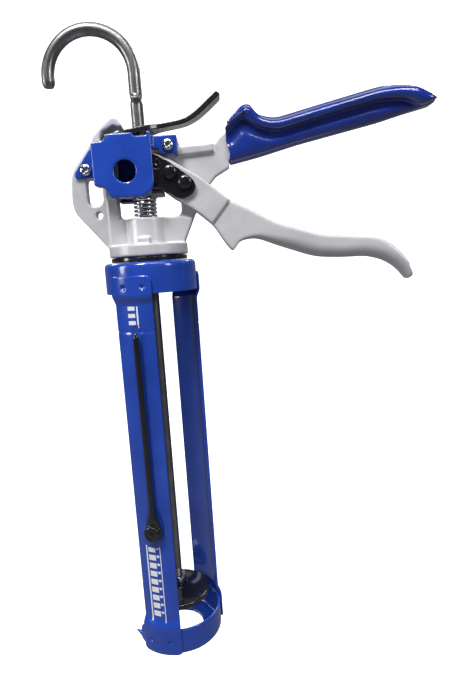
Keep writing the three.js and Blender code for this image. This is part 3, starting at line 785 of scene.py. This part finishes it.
# a bar along its path, closely ringed where the thread and the swaged ears are pushed into it
def makeRod():
    look = rodLook
    end = plungerZ - look["pastDisc"]
    threadTop = plungerZ + look["threadTop"]
    crimp = look["crimp"]
    stretches = [(end, threadTop, 0.16), (threadTop + 1, crimp - 8, 4), (crimp - 8, crimp + 8, 0.4),
                 (crimp + 8.5, look["centre"] - 0.5, 1.5)]
    places = [(0, z) for low, high, step in stretches for z in np.arange(low, high, step)]
    places += [(-look["bend"] * (1 - math.cos(t)), look["centre"] + look["bend"] * math.sin(t))
               for t in np.linspace(0, math.pi, 61)]
    places += [(-2 * look["bend"], look["centre"] - d) for d in (1.5, 3, look["tail"])]
    curve = bpy.data.curves.new("rodPath", "CURVE")
    curve.dimensions = "3D"
    line = curve.splines.new("POLY")
    line.points.add(len(places) - 1)
    for point, place in zip(line.points, places):
        point.co = (*toFrame((place[0], 0, place[1])), 1)
    tree, painted = growTree("rodBar", ["Radius"], barTree)
    sizes = {"Radius": look["radius"] * mm}
    rod = grown("plunger_rod_drawn", tree, painted, sizes, finishes["rod_steel"], curve)
    local = toLocal(arrayOf(rod.data))
    x, y, z = local.T
    straight = (np.abs(x) < 5) & (z < look["centre"])
    ear = np.where(straight, np.exp(-((z - crimp) / look["crimpLength"] * 1.9) ** 2), 0)
    local[:, 1] = y * (1 + look["earOut"] * ear)
    local[:, 0] = x * (1 - look["earIn"] * ear)
    turn = np.arctan2(y, x) / (2 * math.pi)
    wave = np.abs(((z / look["pitch"] - turn) % 1.0) * 2 - 1)
    start = smoothStep(threadTop, threadTop - 2.5, z)
    reach = np.where(straight, start * look["threadDepth"] * wave / look["radius"], 0)
    reach += np.where(straight, look["endTaper"] * smoothStep(end + 1.2, end, z), 0)
    local[:, 0] *= 1 - reach
    local[:, 1] *= 1 - reach
    hookEnd = (x < -30) & (z < look["centre"])
    tailX, tailZ = -2 * look["bend"], look["centre"] - look["tail"]
    shrink = np.where(hookEnd, look["hookTaper"] * smoothStep(tailZ + 0.2, tailZ, z), 0)
    local[:, 0] = np.where(hookEnd, tailX + (local[:, 0] - tailX) * (1 - shrink), local[:, 0])
    local[:, 1] *= 1 - shrink
    rod.data.vertices.foreach_set("co", toFrame(local).ravel())
    rod.data.update()
    keep(rod, "plunger_rod", "rod_steel", "plunger_rod")


springLook = {"return_spring": {"joint": "drive_push", "turns": 4.5, "wire": 0.8, "keep": 0.8},
              "brake_spring": {"joint": "lever_press", "turns": 2.2, "wire": 0.55, "keep": 0.66}}


def makeSprings():
    inputs = ["Turns", "Radius", "Height", "Wire", "Base X", "Base Z"]
    tree, painted = growTree("wireSpring", inputs, wireTree)
    for node, look in springLook.items():
        low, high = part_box(node)
        wire = look["wire"] * mm
        sizes = {"Turns": look["turns"], "Radius": (high.y - low.y) / 2 - wire - 0.05 * mm, "Wire": wire,
                 "Height": high.z - low.z - 2 * wire, "Base X": rodX, "Base Z": low.z + wire}
        spring = grown(node + "_wound", tree, painted, sizes, finishes[slotOf[node]])
        keep(spring, bodyOf[node], slotOf[node], node)
        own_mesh(spring)


# a hexagon nut with chamfered corners at both ends
def hexNut(node, acrossFlats, bore):
    low, high = heightOf(node, False), heightOf(node)
    flat = acrossFlats / 2

    def corner(angle):
        return flat / math.cos((angle % (math.pi / 3)) - math.pi / 6)

    rings = []
    for angle in turns(96):
        out = min(corner(angle), flat / math.cos(math.pi / 6) - 0.25)
        fall = (out - flat) * 0.6 + 0.12
        ring = [(bore + 0.4, low), (flat - 0.25, low), (flat, low + 0.1), (out - 0.05, low + fall),
                (out, low + fall + 0.15), (out, high - fall - 0.15), (out - 0.05, high - fall),
                (flat, high - 0.1), (flat - 0.25, high), (bore + 0.4, high), (bore, high - 0.4),
                (bore, low + 0.4)]
        rings.append([(r * math.cos(angle), r * math.sin(angle), z) for r, z in ring])
    nut = loft(node + "_cut", rings, finishes[slotOf[node]], around=True)
    nut.data.set_sharp_from_angle(angle=math.radians(22))
    keep(nut, bodyOf[node], slotOf[node], node)


# a turned piece that stands for one node and is kept under its own slot and body
def keepTurned(name, node, profile, segments):
    slot = slotOf[node]
    keep(turned(name, profile, finishes[slot], segments), bodyOf[node], slot, node)


discLook = {"dishHeight": 6.5, "sheet": 1.6, "hub": 6.5, "rim": 4.2, "nutFlats": 11, "washerOuter": 6.2,
            "discGap": 0.4, "nutGap": 0.3}


def makePlunger():
    look = discLook
    radius = (discHigh.x - discLow.x) / 2 / mm
    rim = radius - look["rim"]
    low, high = plungerZ, plungerZ + look["dishHeight"]
    bore = rodLook["radius"] + look["discGap"]
    snug = rodLook["radius"] + look["nutGap"]
    keepTurned("plunger_disc_pressed", "plunger_disc", filleted([
        (bore, high - look["sheet"]), (look["hub"], high - look["sheet"]), (rim, low + 1.4, 1.2),
        (rim + 0.8, low, 0.5), (radius, low, 0.8), (radius, low + 3.0, 1.4),
        (rim - 0.2, low + 3.2, 1.5), (look["hub"] + 0.5, high, 1.0), (bore, high)], 0.3, 5), 144)
    hexNut("plunger_nut_rear", look["nutFlats"], snug)
    hexNut("plunger_nut_front", look["nutFlats"], snug)
    low, high = heightOf("plunger_washer", False), heightOf("plunger_washer")
    keepTurned("plunger_washer_cut", "plunger_washer", filleted([
        (snug, low), (look["washerOuter"], low), (look["washerOuter"], high), (snug, high)], 0.2), 64)


makeRod()
makeSprings()
makePlunger()
print("rod, springs and plunger made")


# screws and rivets

screwLook = {"radius": 3.1, "height": 1.8, "slotWidth": 0.5, "slotReach": 1.9, "slotDepth": 1.2, "turn": 0.5}
rivetLook = {"radius": 3.8, "height": 2.4}


# a domed head standing on y = 0 toward -Y, with a cross sunk in it where slotWidth is above 0
def headMesh(name, radius, height, material, slotWidth=0.0, slotReach=0.0, slotDepth=0.0):
    rings = []
    for r in [*np.linspace(0.03, radius * 0.93, 22), *(radius * s for s in (0.97, 0.995, 1.0))]:
        ring = []
        for angle in turns(72):
            x, z = r * math.cos(angle), r * math.sin(angle)
            dome = height * (0.36 + 0.64 * math.sqrt(max(0.0, 1 - (r / radius) ** 2)))
            if slotWidth:
                narrow, wide = sorted((abs(x), abs(z)))
                arm = smoothStep(slotWidth + 0.16, slotWidth - 0.04, narrow)
                arm *= smoothStep(slotReach, slotReach - 0.5, wide)
                dome -= slotDepth * arm * (1 - wide / slotReach * 0.4)
            ring.append((x, -dome, z))
        rings.append(ring)
    rings.append([(radius * math.cos(a), 0, radius * math.sin(a)) for a in turns(72)])
    head = loft(name, rings, material)
    head.data.transform(Matrix.Translation(-Vector(home)))
    return head


def placeHeads(name, look, prefix):
    wanted = [node for node in slotOf if node.startswith(prefix)]
    slot = slotOf[wanted[0]]
    cross = {key: value for key, value in look.items() if key.startswith("slot")}
    template = headMesh(name + "Template", look["radius"], look["height"], finishes[slot], **cross)
    spots = []
    for node in wanted:
        low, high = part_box(node)
        y = low.y + look["height"] * mm if "near" in node else high.y - look["height"] * mm
        spots.append(((low.x + high.x) / 2, y, (low.z + high.z) / 2))
    dots = bpy.data.meshes.new(name)
    dots.from_pydata(spots, [], [])
    tree, painted = growTree(name + "Tree", ["Turn"], fixingTree(template))
    heads = grown(name, tree, painted, {"Turn": look.get("turn", 0.0)}, finishes[slot], dots)
    bpy.data.objects.remove(template)
    keep(heads, bodyOf[wanted[0]], slot, *wanted)


placeHeads("cover_screws", screwLook, "cover_screw_")
placeHeads("trigger_rivets", rivetLook, "trigger_rivet_")
print("screws and rivets placed")


# the cradle

cradleLook = {"sheet": 1.3, "bend": 3.0, "skirt": 17.5, "hole": 7.3, "frontSkirt": 17.0, "nozzle": 15.0,
              "slot": 22.0, "flare": 2.2, "flareWidth": 9, "hornBack": 24}
frontEdges = (223.5, 276.5)  # the strips' side edges, in degrees round the rod
backEdges = (8.5, 69.0)
openingAngle = (frontEdges[0] + backEdges[1]) / 2
openingHalf = (frontEdges[0] - backEdges[1]) / 2
punchAngle = 254.0
floorZ = frontZ + cradleLook["sheet"]

pinLook = {"end": 2.2, "shank": 2.4, "radius": 2.66}


def makePivotPin():
    low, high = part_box("trigger_pivot_pin")
    x, z = ((low.x + high.x) / 2 - rodX) / mm, ((low.z + high.z) / 2 - capTop) / mm
    half = high.y / mm
    end, shank, radius = (pinLook[key] for key in ("end", "shank", "radius"))
    profile = [(0.03, -half), (end, -half), (end + 0.3, -half + 0.12), (radius, -half + 0.4),
               (radius, -half + 1.9), (shank, -half + 2.2)]
    profile += [(r, -y) for r, y in reversed(profile)]
    rings = [[(x + r * math.cos(a), y, z + r * math.sin(a)) for r, y in profile] for a in turns(48)]
    slot = slotOf["trigger_pivot_pin"]
    pin = loft("trigger_pivot_pin_peened", rings, finishes[slot], around=True)
    keep(pin, bodyOf["trigger_pivot_pin"], slot, "trigger_pivot_pin")


def makeRearCap():
    look = cradleLook
    inner = capOuter - look["sheet"]
    keepTurned("rear_cap_pressed", "rear_cap", filleted([
        (look["hole"], -look["sheet"]), (look["hole"], 0), (capOuter, 0, look["bend"]),
        (capOuter, -look["skirt"]), (inner, -look["skirt"]),
        (inner, -look["sheet"], look["bend"] - look["sheet"])], 0.35, 6), 160)


# height of the front cap's rim, by the degrees away from the middle of the cradle's open side
def rimOf(away):
    look = cradleLook
    top = frontZ + look["frontSkirt"]
    places = [0, openingHalf - 33, openingHalf - 25, openingHalf - 10, openingHalf, openingHalf + 6, 180]
    heights = [floorZ, floorZ + 0.5, frontZ + 7, top - 9.5, top - 7.5, top, top]
    spread = np.linspace(-2.2, 2.2, 9)
    return float(np.mean(np.interp(np.clip(away + spread, 0, 180), places, heights)))


def makeFrontCap():
    look = cradleLook
    half = look["sheet"] / 2
    bend = look["bend"] - half
    wall = capOuter - half

    def along(angle):
        away = abs((angle - openingAngle + 180) % 360 - 180)
        inner = look["nozzle"]
        if away < 90:
            slotSide = look["slot"] / 2 / math.sin(math.radians(away))
            inner = max(inner, min(slotSide, wall - bend - 0.5))
        rim = max(rimOf(away), floorZ + half + 0.1) - half
        z0 = frontZ + half
        fromHorn = angle - openingAngle - openingHalf + look["hornBack"]
        flare = look["flare"] * math.exp(-(fromHorn / look["flareWidth"]) ** 2)
        line = [(inner + half * 0.5, z0), (wall - bend, z0)]
        line += [(wall - bend + bend * math.sin(t), z0 + bend * (1 - math.cos(t)))
                 for t in np.linspace(0.15, math.pi / 2, 10)]
        height = max(rim - frontZ - look["bend"], 0.1)
        line += [(wall + flare * s, frontZ + look["bend"] + height * s) for s in np.linspace(0.1, 1, 8)]
        line = np.array(line)
        if rim < frontZ + look["bend"] + 0.1:
            line = line[line[:, 1] <= rim]
        walked = np.concatenate(([0], np.cumsum(np.linalg.norm(np.diff(line, axis=0), axis=1))))
        even = np.linspace(0, walked[-1], 52)
        line = np.column_stack([np.interp(even, walked, side) for side in line.T])
        return line, np.zeros(len(line))

    start = math.degrees(math.asin(look["slot"] / 2 / (wall - bend))) + 2.0
    angles = openingAngle + np.linspace(start, 360 - start, 280)
    cap = bentSheet("front_cap_pressed", angles, along, look["sheet"], finishes["blue_paint"])
    keep(cap, "cradle", "blue_paint", "front_cap")


stripLook = {"sheet": 1.4, "tuck": 0.4, "lift": 0.3, "tabTop": -7.3, "tabFoot": -18.0, "joggle": 5.0,
             "tabCorner": 3.0, "creaseZ": -38.3, "grooveDepth": 0.75, "dimple": 0.9, "grooveLength": 117.5,
             "rearDimples": (-7, 16), "rearDimpleZ": -13.6, "frontDimples": (-14, 12), "frontDimpleZ": 9.5}


# a strip inside the caps whose ends step out over them, clinched by dimples, with a groove for the punch
def makeStrip(name, node, edges, material, groove):
    look = stripLook
    half = look["sheet"] / 2
    near = capOuter - cradleLook["sheet"] - look["tuck"] + half
    far = capOuter + look["lift"] + half
    rearTop, rearTab = look["tabTop"], look["tabFoot"]
    frontTab = frontZ + cradleLook["frontSkirt"] + 1.5
    frontEnd = frontZ + 1.2
    wireTop = punchPivotZ + look["grooveLength"]
    places = spaced(rearTop, frontEnd, 3.0, (rearTop, -42, 0.4), (wireTop + 5, wireTop - 3, 0.5),
                    (punchPivotZ + 6, punchPivotZ - 9, 0.5), (frontTab + 9, frontEnd, 0.45))
    middle = (edges[0] + edges[1]) / 2
    dimples = [(middle + turn, look["rearDimpleZ"]) for turn in look["rearDimples"]]
    dimples += [(middle + turn, frontZ + look["frontDimpleZ"]) for turn in look["frontDimples"]]

    def along(angle):
        reach = min(angle - edges[0], edges[1] - angle) * math.pi / 180 * far
        corner = look["tabCorner"]
        cutBack = corner - math.sqrt(max(0.0, corner ** 2 - max(0.0, corner - reach) ** 2))
        top, low = rearTop - cutBack - half, frontEnd + cutBack * 0.6 + half
        z = top + (places - rearTop) * (low - top) / (frontEnd - rearTop)
        upper = smoothStep(rearTab + 0.6, rearTab - look["joggle"] - 0.6, z)
        lower = smoothStep(frontTab + look["joggle"] + 0.6, frontTab - 0.6, z)
        r = far + (near - far) * (upper - lower)
        sunk = np.zeros_like(z)
        for spot, height in dimples:
            away = np.hypot((angle - spot) * math.pi / 180 * far, z - height)
            sunk = sunk + look["dimple"] * smoothStep(1.9, 0.5, away)
        sunk = sunk + 0.3 * np.exp(-((z - look["creaseZ"]) / 0.7) ** 2)
        if groove:
            across = (angle - punchAngle) * math.pi / 180 * near
            beyond = np.maximum(0, z - wireTop - 1) + np.maximum(0, punchPivotZ - z)
            width = 2.5 + 2.8 * smoothStep(punchPivotZ + 14, punchPivotZ + 2, z)
            away = np.hypot(across, beyond)
            sunk = sunk + look["grooveDepth"] * smoothStep(width + 0.7, width - 0.7, away)
        return np.column_stack((r, z)), sunk

    first, last = edges
    angles = [first, first + 0.5, *np.linspace(first + 1.1, last - 1.1, 84), last - 0.5, last]
    strip = bentSheet(name, angles, along, look["sheet"], material)
    keep(strip, "cradle", "blue_paint", node)


punchLook = {"wire": 1.6, "length": 117.5, "eye": 5.3, "hole": 2.4, "neck": 15.0, "tip": 4.5, "head": 4.8,
             "fromRod": 28.3, "shank": 1.9, "shankFrom": 25.3}


# takes points made on the +X side of the rod to the punch's place round the cradle
def aroundTo(points, angle):
    turn = math.radians(angle)
    x, y, z = np.asarray(points, float).reshape(-1, 3).T
    c, s = math.cos(turn), math.sin(turn)
    return np.column_stack((x * c - y * s, x * s + y * c, z))


# a profile of [radius, height above the strip] turned round the punch's pivot
def turnedOnPivot(name, node, profile):
    rings = [aroundTo([(h, r * math.cos(a), punchPivotZ + r * math.sin(a)) for r, h in profile], punchAngle)
             for a in turns(64)]
    return loft(name, rings, finishes[slotOf[node]], around=True)


def makePunch():
    look = punchLook
    wire, eye, away = look["wire"], look["eye"], look["fromRod"]
    tipFrom = look["length"] - look["tip"]
    places = [*np.arange(3, look["neck"] + 3, 0.8), *np.arange(look["neck"] + 4, tipFrom, 6),
              *np.linspace(tipFrom, look["length"], 10)]
    rings = []
    for height in places:
        wide = wire + (eye - wire - 0.9) * smoothStep(look["neck"], 2.5, height)
        past = max(0.0, height - tipFrom) / look["tip"]
        point = max(math.sqrt(max(0.0, 1 - past ** 2)), 0.04)
        ring = [(away + wire * point * math.cos(a), wide * point * math.sin(a), punchPivotZ + height)
                for a in turns(28)]
        rings.append(aroundTo(ring, punchAngle))
    shaft = loft("seal_punch_wire", rings, finishes[slotOf["seal_punch"]])
    flattened = filleted([(look["hole"], away - wire), (eye, away - wire, 1.0), (eye, away + wire, 1.0),
                          (look["hole"], away + wire)], 0.3, 4)
    ringEnd = turnedOnPivot("seal_punch_eye", "seal_punch", flattened)
    for piece in (shaft, ringEnd):
        keep(piece, "punch", slotOf["seal_punch"], "seal_punch")
    seat = away + wire + 0.5
    head, shank, foot = look["head"], look["shank"], look["shankFrom"]
    peened = filleted([
        (0.05, foot), (shank, foot), (shank, seat), (head, seat, 0.3), (head, seat + 1.3, 0.8),
        (head - 1.4, seat + 1.9, 0.5), (head - 2.2, seat + 1.5, 0.4), (0.05, seat + 2.2)], 0.1, 4)
    rivet = turnedOnPivot("seal_punch_rivet", "seal_punch_pivot", peened)
    keep(rivet, bodyOf["seal_punch_pivot"], slotOf["seal_punch_pivot"], "seal_punch_pivot")


swivelLook = {"washerHole": 8.3, "washerOuter": 22, "nutFlats": 24, "nutHole": 7.3}


def makeSwivel():
    hole, outer = swivelLook["washerHole"], swivelLook["washerOuter"]
    low, high = heightOf("swivel_washer", False), heightOf("swivel_washer")
    keepTurned("swivel_washer_cut", "swivel_washer", filleted([
        (hole, low), (outer, low, 0.6), (outer, high, 0.6), (hole, high)], 0.3, 4), 128)
    hexNut("swivel_nut", swivelLook["nutFlats"], swivelLook["nutHole"])


makePivotPin()
makeRearCap()
makeFrontCap()
makeStrip("cradle_strip_front_bent", "cradle_strip_front", frontEdges, markedBlue, True)
makeStrip("cradle_strip_back_bent", "cradle_strip_back", backEdges, finishes["blue_paint"], False)
makePunch()
makeSwivel()
print("cradle made")


# floor, backdrop, lights and camera

# paperFar and sky are what the object's reflections meet; paper and skySeen are what the camera sees
studio = {"floorZ": -0.62, "backY": 1.1, "sweep": 0.35, "width": 6.0, "front": -2.5, "top": 3.0,
          "paper": (0.93, 0.93, 0.935, 1), "paperFar": (0.10, 0.10, 0.105, 1), "glow": 0.75,
          "sky": 0.04, "skySeen": 0.92}
# each light: place, what it is aimed at, size and power
lights = {
    "keyLeft": ((-0.3, -0.75, 0.95), (0.03, 0, -0.15), (0.3, 0.3), 13.0),
    "tubeNear": ((0.1, -0.62, 0.85), (0.05, 0, -0.1), (1.1, 0.035), 5.0),
    "tubeFar": ((0.1, -0.42, 0.92), (0.05, 0, -0.1), (1.1, 0.035), 5.0),
    "sideLeft": ((-1.0, -0.45, 0.1), (0.0, 0, -0.15), (0.25, 0.5), 4.6),
    "fillRight": ((1.0, -0.75, 0.3), (0.05, 0, -0.15), (0.25, 0.5), 3.8),
    "backLeft": ((-0.65, 0.85, 0.75), (0.0, 0, -0.15), (0.5, 0.4), 6.0),
    "backRight": ((0.75, 0.85, 0.7), (0.05, 0, -0.15), (0.5, 0.4), 6.0),
    "paperWash": ((0.2, 0.5, 1.6), (0.1, 1.0, -0.2), (1.5, 0.6), 4.0),
}
view = {"place": (0.0647, -0.310, -0.12725), "forward": (0.0, 0.989, -0.150), "up": (0.066, 0.150, 0.986),
        "lens": 27.57}


def makeStudio():
    s = studio
    sweep = s["sweep"]
    curve = [(s["front"], s["floorZ"])]
    for t in np.linspace(0, math.pi / 2, 16):
        curve.append((s["backY"] - sweep + sweep * math.sin(t), s["floorZ"] + sweep * (1 - math.cos(t))))
    curve.append((s["backY"], s["top"]))
    points = [(x, y, z) for y, z in curve for x in (-s["width"] / 2, s["width"] / 2)]
    faces = [(2 * i, 2 * i + 1, 2 * i + 3, 2 * i + 2) for i in range(len(curve) - 1)]
    mesh = bpy.data.meshes.new("paperSweep")
    mesh.from_pydata(points, [], faces)
    paper = Finish("palePaper", s["paper"], 0.75)
    seen = Socket(paper.tree, paper.add("ShaderNodeLightPath").outputs["Is Camera Ray"])
    paper.set("Base Color", paper.mix(seen, s["paperFar"], s["paper"]))
    paper.set("Emission Color", paper.mix(seen, s["paperFar"], s["paper"]))
    paper.set("Emission Strength", s["glow"])
    newPiece("paperSweep", mesh, paper.material)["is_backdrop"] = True
    world = bpy.data.worlds.new("studio")
    bpy.context.scene.world = world
    world.use_nodes = True
    backdrop = world.node_tree.nodes["Background"]
    backdrop.inputs["Color"].default_value = (1, 1, 1, 1)
    seen = Socket(world.node_tree, addNode(world.node_tree, "ShaderNodeLightPath").outputs["Is Camera Ray"])
    strength = seen * (s["skySeen"] - s["sky"]) + s["sky"]
    world.node_tree.links.new(strength.link, backdrop.inputs["Strength"])
    for name, (place, aim, size, power) in lights.items():
        lamp = bpy.data.lights.new(name, "AREA")
        lamp.shape = "RECTANGLE"
        lamp.size, lamp.size_y = size
        lamp.energy = power
        light = bpy.data.objects.new(name, lamp)
        light.location = place
        light.rotation_euler = (Vector(aim) - Vector(place)).to_track_quat("-Z", "Y").to_euler()
        bpy.context.scene.collection.objects.link(light)


def makeCamera():
    camera = bpy.data.cameras.new("camera")
    camera.sensor_fit = "VERTICAL"
    camera.sensor_height = 36
    camera.lens = view["lens"]
    camera.clip_start = 0.01
    holder = bpy.data.objects.new("camera", camera)
    back = -Vector(view["forward"]).normalized()
    right = Vector(view["up"]).cross(back).normalized()
    upward = back.cross(right)
    matrix = Matrix((right, upward, back)).transposed().to_4x4()
    matrix.translation = view["place"]
    holder.matrix_world = matrix
    bpy.context.scene.collection.objects.link(holder)
    bpy.context.scene.camera = holder


makeStudio()
makeCamera()
bpy.context.scene.view_settings.view_transform = "Standard"
print("studio made")

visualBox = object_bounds()
sizes = {"cad": [list(corner) for corner in cadBox], "visual": [list(corner) for corner in visualBox]}
